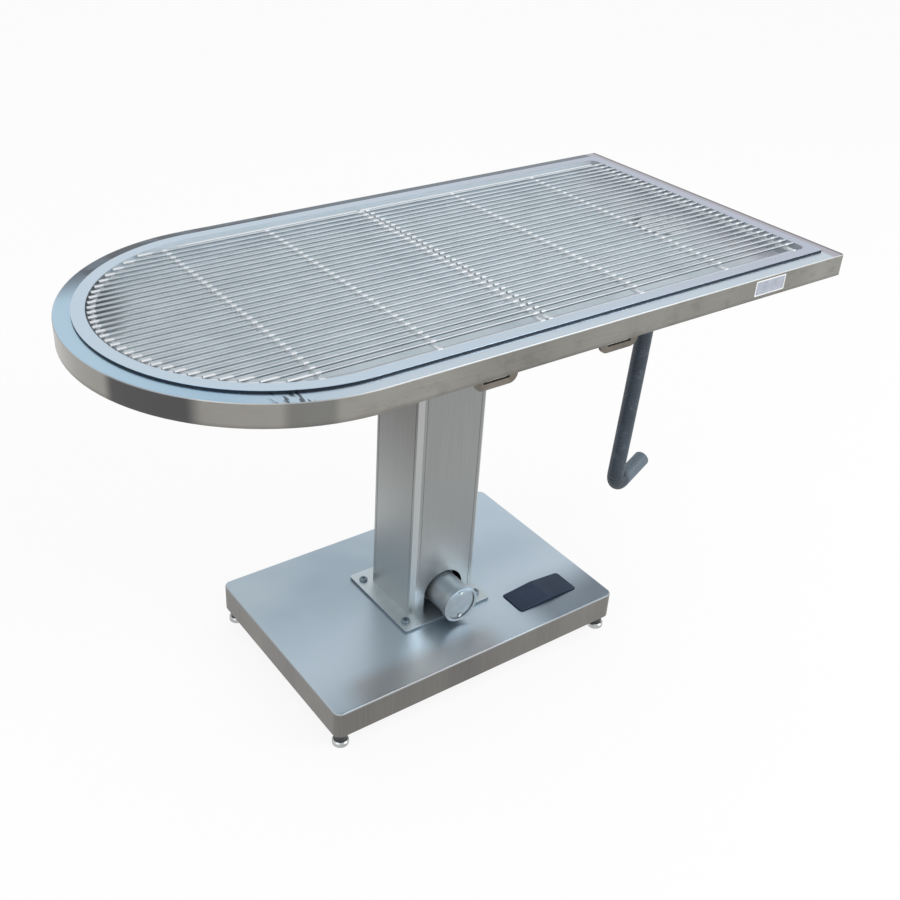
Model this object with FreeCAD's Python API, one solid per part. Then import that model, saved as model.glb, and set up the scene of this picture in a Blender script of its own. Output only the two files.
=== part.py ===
"""Electric-lift treatment table for animals.

A round-ended steel table top holds a drop-in sink tray under two lift-out wire
grids, and stands on a telescopic column with a spindle drive, a folded base with
a rocker pedal, and four levelling feet.  All lengths are in millimetres: +X runs
to the square end, +Y to the back, +Z up, and the origin lies on the floor under
the middle of the column.  The table is drawn at its lowest height.
"""
import FreeCAD
import Part
import math
import os

Vector = FreeCAD.Vector

# Table top
table_width = 600.0
table_length = 1188.0
table_height = 721.0
skirt_height = 36.0
rim_sheet = 1.5
rim_edge_radius = 3.0
rim_corner_radius = 4.5
rim_band_width = 25.0
rim_return_width = 12.0

# Sink tray
tray_sheet = 1.2
tray_flange_width = 19.5
tray_end_flange_width = 18.5
tray_flange_rise = 3.5
tray_depth = 28.0
tray_fall = 6.0
tray_corner_radius = 12.0
tray_wall_gap = 1.8
tray_sump_share = 0.03

# Wire grids
grid_wire_diameter = 5.0
grid_rod_diameter = 6.0
grid_wire_pitch = 15.3
grid_rise = 1.5
rod_wall_gap = 6.5
wire_wall_gap = 1.5
grid_joint_x = 7.5
grid_joint_gap = 6.0
grid_end_bar_setback = 4.0
grid_overhang = 15.0
grid_leg_diameter = 5.0
round_bar_shares = (0.654, 0.327)
square_bar_shares = (0.341, 0.691)

# Drain
drain_end_setback = 105.0
drain_flange_radius = 44.0
drain_flange_thickness = 1.5
drain_recess_gap = 3.0
drain_recess_depth = 2.0
drain_throat_radius = 29.0
drain_wall = 2.0
drain_hole_gap = 0.5
drain_throat_length = 26.0
drain_taper_length = 10.0
drain_spigot_length = 36.0
gasket_thickness = 3.0
drain_nut_radius = 38.0
drain_nut_height = 13.0
drain_nut_lobes = 8
drain_nut_lobe_radius = 5.0
strainer_gap = 0.5
strainer_hole_radius = 1.75
strainer_hole_rings = (10.0, 15.0, 20.0)
strainer_stem_radius = 3.0
strainer_knob_radius = 7.0
strainer_knob_rise = 5.5
strainer_knob_head = 3.0
strainer_knob_edge = 1.0
strainer_dome = 3.0

# Drain hose
hose_diameter = 32.0
hose_wall = 1.8
hose_rib_depth = 1.2
hose_rib_pitch = 5.3
hose_crest_share = 0.5
hose_flank_share = 0.12
hose_cuff_length = 30.0
hose_cuff_wall = 2.5
hose_clamp_width = 10.0
hose_clamp_thickness = 0.9
hose_clamp_screw_radius = 4.0
hose_clamp_screw_length = 16.0
hose_cuff_drop = 9.5
# The free stretch from the foot of the cuff, in steps chosen by hand.
hose_route = (
    (0.0, 0.0, 0.0),
    (0.0, 0.0, -93.0),
    (-9.5, 0.0, -273.0),
    (-21.0, 0.0, -454.5),
    (-1.0, 6.4, -473.0),
    (87.0, 33.0, -456.5),
)

# Tie-down cleats
cleat_x = 112.0
cleat_width = 73.0
cleat_height = 19.0
cleat_sheet = 5.0
cleat_inset = 8.5
cleat_foot = 15.5
cleat_corner_radius = 14.0
cleat_slot_length = 46.0
cleat_slot_height = 4.6
cleat_slot_drop = 5.0

# Frame under the table top
rail_width = 40.0
rail_height = 20.0
rail_wall = 2.0
rail_y = 150.0
rail_left_x = -480.0
rail_overlap = 5.0
arm_x = 112.0
arm_width = 50.0
arm_height = 23.0
arm_sheet = 2.5
arm_half_length = 200.0
arm_root_half_length = 85.0
arm_tip_height = 9.0
tray_pad_setback = 154.0
tray_pad_size = 36.0
seat_gap = 0.3
mount_plate_length = 284.0
mount_plate_width = 170.0
mount_plate_thickness = 8.0
mount_plate_corner_radius = 9.0

# Lifting column
column_length_x = 135.0
column_length_y = 130.0
column_wall = 4.0
column_chamfer = 7.0
column_groove_width = 1.2
column_groove_depth = 0.5
column_groove_inset = 13.0
column_top_clearance = 16.0
inner_wall = 4.0
inner_corner_radius = 5.0
glide_thickness = 3.5
glide_clearance = 0.3
glide_length = 30.0
glide_lip = 3.0
inner_bottom_z = 176.0
arch_half_width = 41.0
arch_top_z = 160.0
column_screw_radius = 4.0
column_screw_head_radius = 6.5
column_screw_head_height = 6.0
column_screw_length = 24.0
column_screw_inset = 14.0
screw_hole_clearance = 0.5

# Lifting drive
spindle_radius = 10.0
spindle_top_z = 560.0
spindle_root_depth = 1.2
spindle_groove_pitch = 8.0
spindle_groove_count = 44
spindle_groove_width = 3.0
running_clearance = 0.05
gearbox_length = 84.0
gearbox_height = 72.0
gearbox_chamfer = 8.0
spindle_foot_depth = 40.0
bearing_radius = 21.0
bearing_height = 12.0
nut_plate_thickness = 10.0
nut_radius = 19.0
nut_height = 28.0
nut_flange_radius = 30.0
nut_flange_height = 7.0
nut_hole_gap = 0.5
motor_axis_z = 122.0
motor_radius = 31.5
motor_length = 66.0
motor_flange_radius = 35.0
motor_flange_length = 5.0
motor_cap_radius = 34.5
motor_cap_length = 10.5
motor_cap_recess = 2.5
motor_cap_rim = 5.0
motor_cap_screw_offset = 24.5
motor_screw_radius = 3.2
motor_screw_head_height = 2.0

# Column flange
flange_length = 184.0
flange_width = 184.0
flange_thickness = 5.0
flange_offset_x = -5.0
flange_corner_radius = 5.0
flange_screw_spacing_x = 153.0
flange_screw_spacing_y = 137.0
flange_screw_radius = 4.0
flange_screw_head_radius = 7.5
flange_screw_head_height = 4.5
flange_screw_length = 24.0
flange_socket_radius = 2.5
flange_socket_depth = 2.5

# Base
base_length = 594.0
base_width = 400.0
base_height = 50.0
base_clearance = 30.0
base_offset_x = -5.0
base_corner_radius = 14.0
base_edge_radius = 3.0
base_sheet = 1.5
base_tube = 30.0
base_tube_wall = 2.0
control_box_length = 130.0
control_box_width = 80.0
control_box_height = 34.0
control_box_inset = 112.0
control_box_edge_radius = 4.0
gland_inset = 87.0
gland_radius = 6.5
gland_flange_radius = 8.5
gland_flange_length = 4.0
gland_bore_radius = 3.5
gland_neck_length = 14.0
gland_nut_length = 5.0

# Foot pedal
pedal_end_inset = 115.0
pedal_side_inset = 74.5
pedal_length = 129.0
pedal_width = 54.0
pedal_corner_radius = 6.0
pedal_rise = 2.0
pedal_crest = 7.5
pedal_gap = 1.5
pedal_body_depth = 3.0
pedal_edge_radius = 1.5
pedal_axis_depth = 10.0
pedal_pin_radius = 3.0
pedal_hub_radius = 7.0
pedal_rib_width = 12.0
pedal_hub_side_gap = 1.0
housing_wall = 2.5
housing_margin = 6.0
housing_depth = 28.5
switch_x = 30.0
switch_length = 20.0
switch_width = 10.0
switch_height = 13.0
plunger_radius = 2.0
buffer_x = 50.0
buffer_radius = 6.0
buffer_play = 0.4
pedal_swing_degrees = 4.0

# Levelling feet
foot_inset = 17.3
foot_pad_radius = 14.0
foot_pad_height = 11.0
foot_pad_edge = 2.0
foot_journal_radius = 4.0
foot_journal_floor = 2.5
foot_collar_radius = 10.5
foot_collar_top_z = 33.0
foot_collar_gap = 0.3
foot_stud_radius = 5.0
foot_stud_top_z = 74.0
foot_travel = 15.0
insert_radius = 6.5
insert_flange_radius = 9.5
insert_flange_height = 2.0
jam_nut_width = 17.0
jam_nut_height = 6.0

cut_overrun = 2.0

# Levels and places that follow from the sizes above
skirt_bottom_z = table_height - skirt_height
round_center_x = table_width / 2 - table_length / 2
square_end_x = table_length / 2
drain_x = square_end_x - drain_end_setback
tray_pad_x = square_end_x - tray_pad_setback
tray_top_z = table_height + tray_flange_rise
tray_wall_inset = rim_band_width + tray_flange_width
tray_end_inset = rim_band_width + tray_end_flange_width
tray_floor_z = tray_top_z - tray_depth
drain_floor_z = tray_floor_z - tray_fall
recess_z = drain_floor_z - drain_recess_depth
recess_radius = drain_flange_radius + drain_recess_gap
wire_axis_z = tray_top_z + grid_rise - grid_wire_diameter / 2
rod_axis_z = wire_axis_z - grid_wire_diameter / 2 - grid_rod_diameter / 2
grid_edge = table_width / 2 - tray_wall_inset - rod_wall_gap - grid_rod_diameter / 2
rail_bottom_z = skirt_bottom_z - rail_height
arm_bottom_z = rail_bottom_z - arm_height
mount_plate_z = arm_bottom_z - mount_plate_thickness
base_top_z = base_clearance + base_height
base_under_z = base_top_z - base_sheet
flange_top_z = base_top_z + flange_thickness
column_top_z = mount_plate_z - column_top_clearance
inner_length_x = column_length_x - 2 * column_wall - 2 * glide_thickness
inner_length_y = column_length_y - 2 * column_wall - 2 * glide_thickness
gearbox_top_z = flange_top_z + gearbox_height
motor_front_y = -gearbox_length / 2 - motor_length
spigot_top_z = recess_z - drain_throat_length - drain_taper_length
spigot_radius = hose_diameter / 2 - hose_wall - hose_rib_depth - running_clearance
cuff_top_z = spigot_top_z - hose_cuff_drop
cuff_bottom_z = cuff_top_z - hose_cuff_length
pedal_x = base_offset_x + base_length / 2 - pedal_end_inset
pedal_y = pedal_side_inset - base_width / 2
pedal_axis_z = base_top_z - pedal_axis_depth
housing_floor_z = base_under_z - housing_depth + housing_wall
rocker_under_z = base_top_z + pedal_rise - pedal_body_depth
tube_bottom_z = base_under_z - base_tube
tube_inset = base_edge_radius + seat_gap
control_box_x = base_offset_x - base_length / 2 + control_box_inset
control_box_y = (flange_screw_spacing_y + base_width) / 4 - (tube_inset + base_tube / 2) / 2
gland_x = base_offset_x - base_length / 2 + gland_inset


def box(length, width, height, center_x, center_y, bottom):
    corner = Vector(center_x - length / 2, center_y - width / 2, bottom)
    return Part.makeBox(length, width, height, corner)


def rod(radius, start, end):
    axis = end - start
    return Part.makeCylinder(radius, axis.Length, start, axis)


def upright(radius, x, y, bottom, top):
    return rod(radius, Vector(x, y, bottom), Vector(x, y, top))


def joined(pieces):
    return pieces[0].multiFuse(pieces[1:]).removeSplitter()


def turned(points, x, y):
    """A solid of revolution about the upright axis through x, y."""
    outline = [Vector(x + radius, y, z) for radius, z in points]
    face = Part.Face(Part.makePolygon(outline + outline[:1]))
    return face.revolve(Vector(x, y, 0), Vector(0, 0, 1), 360)


def rounded_plate(length, width, height, center_x, center_y, bottom, radius):
    plate = box(length, width, height, center_x, center_y, bottom)
    upright_edges = [edge for edge in plate.Edges if is_upright(edge)]
    return plate.makeFillet(radius, upright_edges)


def is_upright(edge):
    first, last = edge.Vertexes[0].Point, edge.Vertexes[-1].Point
    return abs(first.z - last.z) > 0.5 * edge.Length


def lies_at(edge, level):
    box_of_edge = edge.BoundBox
    tolerance = 0.001 * edge.Length
    return abs(box_of_edge.ZMin - level) < tolerance and abs(box_of_edge.ZMax - level) < tolerance


def round_over(solid, level, radius):
    """Rounds every edge of the solid that lies at one level."""
    return solid.makeFillet(radius, [edge for edge in solid.Edges if lies_at(edge, level)])


def save(name, shape):
    if not shape.isValid():
        print("not valid:", name)
    shape.exportStep("parts/" + name + ".step")
    print("%-20s solids %d  volume %.0f" % (name, len(shape.Solids), shape.Volume))


# Table outline

def d_outline(inset, corner, level, end_inset=None, share=1.0):
    """The round-ended outline, set in from the edge and shrunk toward the drain by a share."""
    half = table_width / 2 - inset
    end = square_end_x - (inset if end_inset is None else end_inset)
    diagonal = corner * (1 - math.sqrt(0.5))

    def place(x, y):
        return Vector(drain_x + (x - drain_x) * share, y * share, level)

    tip = place(round_center_x - half, 0)
    edges = [
        Part.Arc(place(round_center_x, -half), tip, place(round_center_x, half)),
        Part.LineSegment(place(round_center_x, half), place(end - corner, half)),
        Part.Arc(place(end - corner, half), place(end - diagonal, half - diagonal),
                 place(end, half - corner)),
        Part.LineSegment(place(end, half - corner), place(end, corner - half)),
        Part.Arc(place(end, corner - half), place(end - diagonal, diagonal - half),
                 place(end - corner, -half)),
        Part.LineSegment(place(end - corner, -half), place(round_center_x, -half)),
    ]
    return Part.Wire([edge.toShape() for edge in edges])


def d_solid(inset, corner, bottom, top, end_inset=None):
    outline = d_outline(inset, corner, bottom, end_inset)
    return Part.Face(outline).extrude(Vector(0, 0, top - bottom))


def table_rim():
    """Skirt, polished top band with its ledge, and the return along the skirt's foot."""
    shell = round_over(d_solid(0, rim_corner_radius, skirt_bottom_z, table_height),
                       table_height, rim_edge_radius)
    inner_corner = rim_corner_radius - rim_sheet
    hollow_top = table_height - rim_sheet
    hollow = round_over(d_solid(rim_sheet, inner_corner, skirt_bottom_z, hollow_top),
                        hollow_top, rim_edge_radius - rim_sheet)
    margin = tray_sheet + tray_wall_gap
    opening = d_solid(tray_wall_inset - margin, tray_corner_radius, skirt_bottom_z,
                      table_height + cut_overrun, tray_end_inset - margin)
    return_top = skirt_bottom_z + rim_sheet
    foot = d_solid(rim_sheet, inner_corner, skirt_bottom_z, return_top)
    foot = foot.cut(d_solid(rim_sheet + rim_return_width, inner_corner,
                            skirt_bottom_z, return_top))
    return shell.cut(hollow).cut(opening).fuse(foot).removeSplitter()


def tray_body(growth, drop, top):
    """Tray well with a floor that falls from its walls to the drain."""
    inset = tray_wall_inset - growth
    end_inset = tray_end_inset - growth
    corner = tray_corner_radius + growth
    well = d_solid(inset, corner, tray_floor_z - drop, top, end_inset)
    rim_wire = d_outline(inset, corner, tray_floor_z - drop, end_inset)
    sump_wire = d_outline(inset, corner, drain_floor_z - drop, end_inset, tray_sump_share)
    return well.fuse(Part.makeLoft([rim_wire, sump_wire], True, True))


def tray_floor_under(x, y):
    """Height of the floor's underside at a point, along the ray from the drain to the wall."""
    half = table_width / 2 - tray_wall_inset
    end = square_end_x - tray_end_inset
    step_x = x - drain_x
    reach = (half / abs(y),) if y else ()
    if step_x > 0:
        reach += ((end - drain_x) / step_x,)
    if step_x < 0:
        offset = drain_x - round_center_x
        a = step_x ** 2 + y ** 2
        b = 2 * offset * step_x
        c = offset ** 2 - half ** 2
        round_reach = (-b + math.sqrt(max(b * b - 4 * a * c, 0))) / (2 * a)
        reach += (round_reach,) if offset + round_reach * step_x < 0 else ()
    return tray_floor_z - tray_sheet - tray_fall * (1 - 1 / min(reach))


def sink_tray():
    flange = d_solid(rim_band_width, rim_corner_radius, table_height, tray_top_z)
    flange = flange.cut(d_solid(rim_band_width + tray_sheet, rim_corner_radius - tray_sheet,
                                table_height, tray_top_z - tray_sheet))
    outer = tray_body(tray_sheet, tray_sheet, tray_top_z)
    inner = tray_body(0, 0, tray_top_z + cut_overrun)
    cup = upright(recess_radius + tray_sheet, drain_x, 0, recess_z - tray_sheet, tray_floor_z - tray_sheet)
    recess = upright(recess_radius, drain_x, 0, recess_z, tray_floor_z)
    hole = upright(drain_throat_radius + drain_hole_gap, drain_x, 0,
                   recess_z - tray_sheet - cut_overrun, recess_z + cut_overrun)
    solid = flange.fuse(outer).fuse(cup)
    return solid.cut(inner).cut(recess).cut(hole).removeSplitter()


# Wire grids

def grid_rows():
    """Places of the lengthwise wires, evenly spaced about the middle."""
    last = int((grid_edge - grid_rod_diameter) / grid_wire_pitch)
    return [row * grid_wire_pitch for row in range(-last, last + 1)]


def grid_legs(bar_x, side_y):
    """Legs from the edge rod down to the tray floor, one on each side."""
    top = rod_axis_z - grid_rod_diameter / 2
    return [upright(grid_leg_diameter / 2, bar_x, side * side_y,
                    tray_floor_under(bar_x, side_y) + tray_sheet + seat_gap, top)
            for side in (-1, 1)]


def cross_bar(x, half):
    return rod(grid_rod_diameter / 2, Vector(x, -half, rod_axis_z), Vector(x, half, rod_axis_z))


def grid_wire(y, start, end):
    return rod(grid_wire_diameter / 2, Vector(start, y, wire_axis_z), Vector(end, y, wire_axis_z))


def edge_rod(side, start, end):
    return rod(grid_rod_diameter / 2, Vector(start, side * grid_edge, rod_axis_z),
               Vector(end, side * grid_edge, rod_axis_z))


def grid_round():
    """Grid over the round end: bent edge rod, cross bars, wires welded on top, and legs."""
    radius = grid_rod_diameter / 2
    wire_end = grid_joint_x - grid_joint_gap / 2
    bar_x = wire_end - grid_end_bar_setback
    bend = Part.makeTorus(grid_edge, radius, Vector(0, 0, 0), Vector(0, 0, 1), 0, 360, 180)
    bend.Placement = FreeCAD.Placement(Vector(round_center_x, 0, rod_axis_z),
                                       FreeCAD.Rotation(Vector(0, 0, 1), 90))
    pieces = [bend.multiFuse([edge_rod(side, round_center_x, wire_end) for side in (-1, 1)])]
    tip_x = round_center_x - grid_edge
    inside = grid_edge - radius
    for share in (0.0,) + round_bar_shares:
        x = bar_x + (tip_x - bar_x) * share
        past_center = max(round_center_x - x, 0)
        bar_past = past_center + radius if past_center else 0
        pieces.append(cross_bar(x, math.sqrt(inside ** 2 - bar_past ** 2)))
        pieces += grid_legs(x, math.sqrt(grid_edge ** 2 - past_center ** 2))
    reach = table_width / 2 - tray_wall_inset - wire_wall_gap
    for y in grid_rows():
        widest = abs(y) + grid_wire_diameter / 2
        pieces.append(grid_wire(y, round_center_x - math.sqrt(reach ** 2 - widest ** 2), wire_end))
    return Part.makeCompound(pieces)


def grid_square():
    """Grid over the square end, whose wires run on past the last bar."""
    wire_start = grid_joint_x + grid_joint_gap / 2
    wire_end = square_end_x - tray_end_inset - wire_wall_gap
    first_x = wire_start + grid_end_bar_setback
    last_x = wire_end - grid_overhang
    half = grid_edge - grid_rod_diameter / 2
    pieces = [edge_rod(side, wire_start, last_x + grid_rod_diameter / 2) for side in (-1, 1)]
    for share in (0.0,) + square_bar_shares + (1.0,):
        x = first_x + (last_x - first_x) * share
        pieces.append(cross_bar(x, half))
        pieces += grid_legs(x, grid_edge)
    for y in grid_rows():
        pieces.append(grid_wire(y, wire_start, wire_end))
    return Part.makeCompound(pieces)


# Drain

def drain_body():
    """Waste with its flange in the tray's recess, threaded throat and hose spigot."""
    flange_top = recess_z + drain_flange_thickness
    throat_bottom = recess_z - drain_throat_length
    bore = drain_throat_radius - drain_wall
    spigot_bottom = spigot_top_z - drain_spigot_length
    return turned([
        (drain_flange_radius, recess_z),
        (drain_flange_radius, flange_top),
        (bore, flange_top),
        (bore, throat_bottom),
        (spigot_radius - drain_wall, spigot_top_z),
        (spigot_radius - drain_wall, spigot_bottom),
        (spigot_radius, spigot_bottom),
        (spigot_radius, spigot_top_z),
        (drain_throat_radius, throat_bottom),
        (drain_throat_radius, recess_z),
    ], drain_x, 0)


def drain_gasket():
    top = recess_z - tray_sheet
    outer = upright(drain_nut_radius, drain_x, 0, top - gasket_thickness, top)
    return outer.cut(upright(drain_throat_radius + running_clearance, drain_x, 0,
                             top - gasket_thickness, top))


def drain_nut():
    """Ring nut with hand lobes that clamps the gasket to the tray."""
    top = recess_z - tray_sheet - gasket_thickness
    bottom = top - drain_nut_height
    pieces = [upright(drain_nut_radius, drain_x, 0, bottom, top)]
    for lobe in range(drain_nut_lobes):
        angle = 2 * math.pi * lobe / drain_nut_lobes
        pieces.append(upright(drain_nut_lobe_radius,
                              drain_x + drain_nut_radius * math.cos(angle),
                              drain_nut_radius * math.sin(angle), bottom, top))
    bore = upright(drain_throat_radius + running_clearance, drain_x, 0, bottom, top)
    return joined(pieces).cut(bore)


def strainer():
    """Lift-out perforated strainer with a shallow raised middle and a pull knob."""
    radius = drain_throat_radius - drain_wall - strainer_gap
    seat = recess_z + drain_flange_thickness
    lip = radius + strainer_gap + drain_wall
    cover = turned([
        (0, seat + strainer_dome),
        (radius, seat + tray_sheet),
        (lip, seat + tray_sheet),
        (lip, seat),
        (radius, seat),
        (radius, seat - strainer_dome),
        (radius - tray_sheet, seat - strainer_dome),
        (radius - tray_sheet, seat),
        (0, seat + strainer_dome - tray_sheet),
    ], drain_x, 0)
    for ring in strainer_hole_rings:
        count = int(math.pi * ring / (2 * strainer_hole_radius))
        for index in range(count):
            angle = 2 * math.pi * index / count
            cover = cover.cut(upright(strainer_hole_radius, drain_x + ring * math.cos(angle),
                                      ring * math.sin(angle), seat - strainer_dome,
                                      seat + 2 * strainer_dome))
    return cover.fuse(strainer_knob(seat))


def strainer_knob(seat):
    """Pull knob on a stem that runs down through the middle of the strainer."""
    foot = seat - strainer_dome
    top = seat + strainer_dome + strainer_knob_rise
    under = top - strainer_knob_head
    return turned([
        (0, foot),
        (strainer_stem_radius, foot),
        (strainer_stem_radius, under),
        (strainer_knob_radius, under),
        (strainer_knob_radius, top - strainer_knob_edge),
        (strainer_knob_radius - strainer_knob_edge, top),
        (0, top),
    ], drain_x, 0)


def hose_cuff():
    """Smooth end of the hose, pushed over the spigot."""
    outer = upright(hose_diameter / 2, drain_x, 0, cuff_bottom_z, cuff_top_z)
    return outer.cut(upright(spigot_radius + running_clearance, drain_x, 0, cuff_bottom_z, cuff_top_z))


def hose_clamp():
    """Band clamp round the cuff with its worm screw housing."""
    middle = (cuff_bottom_z + cuff_top_z) / 2
    inner = hose_diameter / 2 + running_clearance
    outer = inner + hose_clamp_thickness
    bottom = middle - hose_clamp_width / 2
    top = middle + hose_clamp_width / 2
    band = upright(outer, drain_x, 0, bottom, top)
    screw_x = drain_x + outer + hose_clamp_screw_radius - hose_clamp_thickness
    screw = rod(hose_clamp_screw_radius, Vector(screw_x, -hose_clamp_screw_length / 2, middle),
                Vector(screw_x, hose_clamp_screw_length / 2, middle))
    return band.fuse(screw).cut(upright(inner, drain_x, 0, bottom, top))


class Route:
    """Straight runs joined by tangent arcs, each as large as its two runs allow."""

    def __init__(self, start, steps):
        self.points = [start + Vector(*step) for step in steps]
        self.pieces = []
        start = self.points[0]
        for before, corner, after in zip(self.points, self.points[1:], self.points[2:]):
            into = (corner - before).normalize()
            out = (after - corner).normalize()
            turn = into.getAngle(out)
            shorter = min((corner - before).Length, (after - corner).Length)
            radius = 0.45 * shorter / math.tan(turn / 2)
            tangent = 0.45 * shorter
            arc_start = corner - into * tangent
            self.pieces.append(("line", start, into, (arc_start - start).Length, 0.0, None))
            side = (out - into * out.dot(into)).normalize()
            self.pieces.append(("arc", arc_start, into, radius * turn, radius, side))
            start = corner + out * tangent
            print("hose corner: turn %.1f degrees, radius %.1f" % (math.degrees(turn), radius))
        last = self.points[-1] - start
        self.pieces.append(("line", start, last.normalize(), (self.points[-1] - start).Length, 0.0, None))
        self.length = sum(piece[3] for piece in self.pieces)

    def at(self, distance):
        """Point and direction at a distance along the route."""
        for kind, start, heading, length, radius, side in self.pieces:
            if distance <= length or start is self.pieces[-1][1]:
                break
            distance -= length
        if kind == "line":
            return start + heading * distance, heading
        angle = distance / radius
        point = start + heading * (radius * math.sin(angle)) + side * (radius * (1 - math.cos(angle)))
        return point, heading * math.cos(angle) + side * math.sin(angle)


def ring_on(route, distance, radius):
    """Circle square to the route, with its X axis always along Y."""
    point, heading = route.at(distance)
    steady = Vector(0, 1, 0)
    frame = FreeCAD.Rotation(steady, heading.cross(steady), heading, "ZXY")
    circle = Part.Circle(Vector(0, 0, 0), Vector(0, 0, 1), radius).toShape()
    circle.Placement = FreeCAD.Placement(point, frame)
    return Part.Wire([circle])


def drain_hose():
    """Ribbed hose: ribs lofted through four rings each, less its bore."""
    route = Route(Vector(drain_x, 0, cuff_bottom_z), hose_route)
    count = int(route.length / hose_rib_pitch)
    pitch = route.length / count
    root = hose_diameter / 2 - hose_rib_depth
    crest = hose_diameter / 2
    rings = []
    for rib in range(count):
        start = rib * pitch
        valley = pitch * (1 - hose_crest_share - 2 * hose_flank_share)
        for offset, radius in ((0, root), (valley, root),
                               (valley + hose_flank_share * pitch, crest),
                               (pitch - hose_flank_share * pitch, crest)):
            rings.append(ring_on(route, start + offset, radius))
    rings.append(ring_on(route, route.length, root))
    body = Part.makeLoft(rings, True, True)
    bore_rings = [ring_on(route, 0, root - hose_wall)]
    travelled = 0
    for kind, start, heading, length, radius, side in route.pieces:
        steps = 1 if kind == "line" or radius > 4 * hose_diameter else 6
        for step in range(1, steps + 1):
            bore_rings.append(ring_on(route, travelled + length * step / steps, root - hose_wall))
        travelled += length
    bore = Part.makeLoft(bore_rings, True, True)
    mean = (root + crest) / 2
    print("hose length %.1f, body volume %.0f, section times length %.0f"
          % (route.length, body.Volume, math.pi * mean ** 2 * route.length))
    return body.cut(bore)


# Cleats and frame under the top

def tie_cleat(side_x, side_y):
    """Slotted plate that hangs under the skirt from a foot on the skirt's return."""
    face_y = table_width / 2 - cleat_inset
    bottom = skirt_bottom_z - cleat_height
    plate = Part.makeBox(cleat_width, cleat_sheet, cleat_height,
                         Vector(-cleat_width / 2, face_y - cleat_sheet, bottom))
    lower = [edge for edge in plate.Edges
             if abs(edge.BoundBox.ZMax - bottom) < edge.Length and edge.BoundBox.YLength > 0.9 * cleat_sheet
             and edge.BoundBox.XLength < cleat_sheet and edge.BoundBox.ZMin < bottom + cleat_sheet]
    plate = plate.makeFillet(cleat_corner_radius, lower)
    foot = Part.makeBox(cleat_width, cleat_foot, cleat_sheet,
                        Vector(-cleat_width / 2, face_y - cleat_foot, skirt_bottom_z - cleat_sheet))
    slot_z = skirt_bottom_z - cleat_slot_drop - cleat_slot_height / 2
    reach = (cleat_slot_length - cleat_slot_height) / 2
    slot = Part.makeBox(2 * reach, cleat_sheet + 2 * cut_overrun, cleat_slot_height,
                        Vector(-reach, face_y - cleat_sheet - cut_overrun,
                               slot_z - cleat_slot_height / 2))
    for end in (-reach, reach):
        slot = slot.fuse(rod(cleat_slot_height / 2,
                             Vector(end, face_y - cleat_sheet - cut_overrun, slot_z),
                             Vector(end, face_y + cut_overrun, slot_z)))
    cleat = plate.fuse(foot).cut(slot).removeSplitter()
    if side_y < 0:
        cleat = cleat.mirror(Vector(0, 0, 0), Vector(0, 1, 0))
    cleat.translate(Vector(side_x * cleat_x, 0, 0))
    return cleat


def tube_along_x(start, end, center_y, bottom, width, height, wall):
    outer = Part.makeBox(end - start, width, height, Vector(start, center_y - width / 2, bottom))
    inner = Part.makeBox(end - start, width - 2 * wall, height - 2 * wall,
                         Vector(start, center_y - width / 2 + wall, bottom + wall))
    return outer.cut(inner)


def tube_along_y(start, end, center_x, bottom, width, height, wall):
    outer = Part.makeBox(width, end - start, height, Vector(center_x - width / 2, start, bottom))
    inner = Part.makeBox(width - 2 * wall, end - start, height - 2 * wall,
                         Vector(center_x - width / 2 + wall, start, bottom + wall))
    return outer.cut(inner)


def table_rail(side):
    end = square_end_x - rim_sheet - rim_return_width + rail_overlap
    return tube_along_x(rail_left_x, end, side * rail_y, rail_bottom_z,
                        rail_width, rail_height, rail_wall)


def support_arm(side):
    """Folded channel, open below, whose side walls taper to the tips."""
    tip_z = rail_bottom_z - arm_tip_height
    outline = [
        Vector(0, -arm_half_length, rail_bottom_z),
        Vector(0, arm_half_length, rail_bottom_z),
        Vector(0, arm_half_length, tip_z),
        Vector(0, arm_root_half_length, arm_bottom_z),
        Vector(0, -arm_root_half_length, arm_bottom_z),
        Vector(0, -arm_half_length, tip_z),
    ]
    side_face = Part.Face(Part.makePolygon(outline + outline[:1]))
    arm = side_face.extrude(Vector(arm_width, 0, 0))
    arm.translate(Vector(side * arm_x - arm_width / 2, 0, 0))
    hollow = box(arm_width - 2 * arm_sheet, 2 * arm_half_length, arm_height - arm_sheet,
                 side * arm_x, 0, arm_bottom_z)
    return arm.cut(hollow)


def tray_pads():
    """Rubber blocks between the rails and the tray's floor."""
    pads = []
    for side_x in (-1, 1):
        for side_y in (-1, 1):
            x = side_x * tray_pad_x
            nearest = min(tray_floor_under(x + shift_x * tray_pad_size / 2,
                                           rail_y + shift_y * tray_pad_size / 2)
                          for shift_x in (-1, 1) for shift_y in (-1, 1))
            pads.append(box(tray_pad_size, tray_pad_size, nearest - seat_gap - skirt_bottom_z,
                            x, side_y * rail_y, skirt_bottom_z))
    return Part.makeCompound(pads)


# Lifting column

def column_section(length, width, height, bottom, radius):
    return rounded_plate(length, width, height, 0, 0, bottom, radius)


def chamfered_section(inset, height, bottom):
    """The fixed column's outline, set in from its faces, with flat corners all as thick."""
    block = box(column_length_x - 2 * inset, column_length_y - 2 * inset, height, 0, 0, bottom)
    leg = column_chamfer - inset * (2 - math.sqrt(2))
    return block.makeChamfer(leg, [edge for edge in block.Edges if is_upright(edge)])


def column_screw_places():
    x = inner_length_x / 2 - column_screw_inset
    y = inner_length_y / 2 - column_screw_inset
    return [(sign_x * x, sign_y * y) for sign_x in (-1, 1) for sign_y in (-1, 1)]


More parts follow.
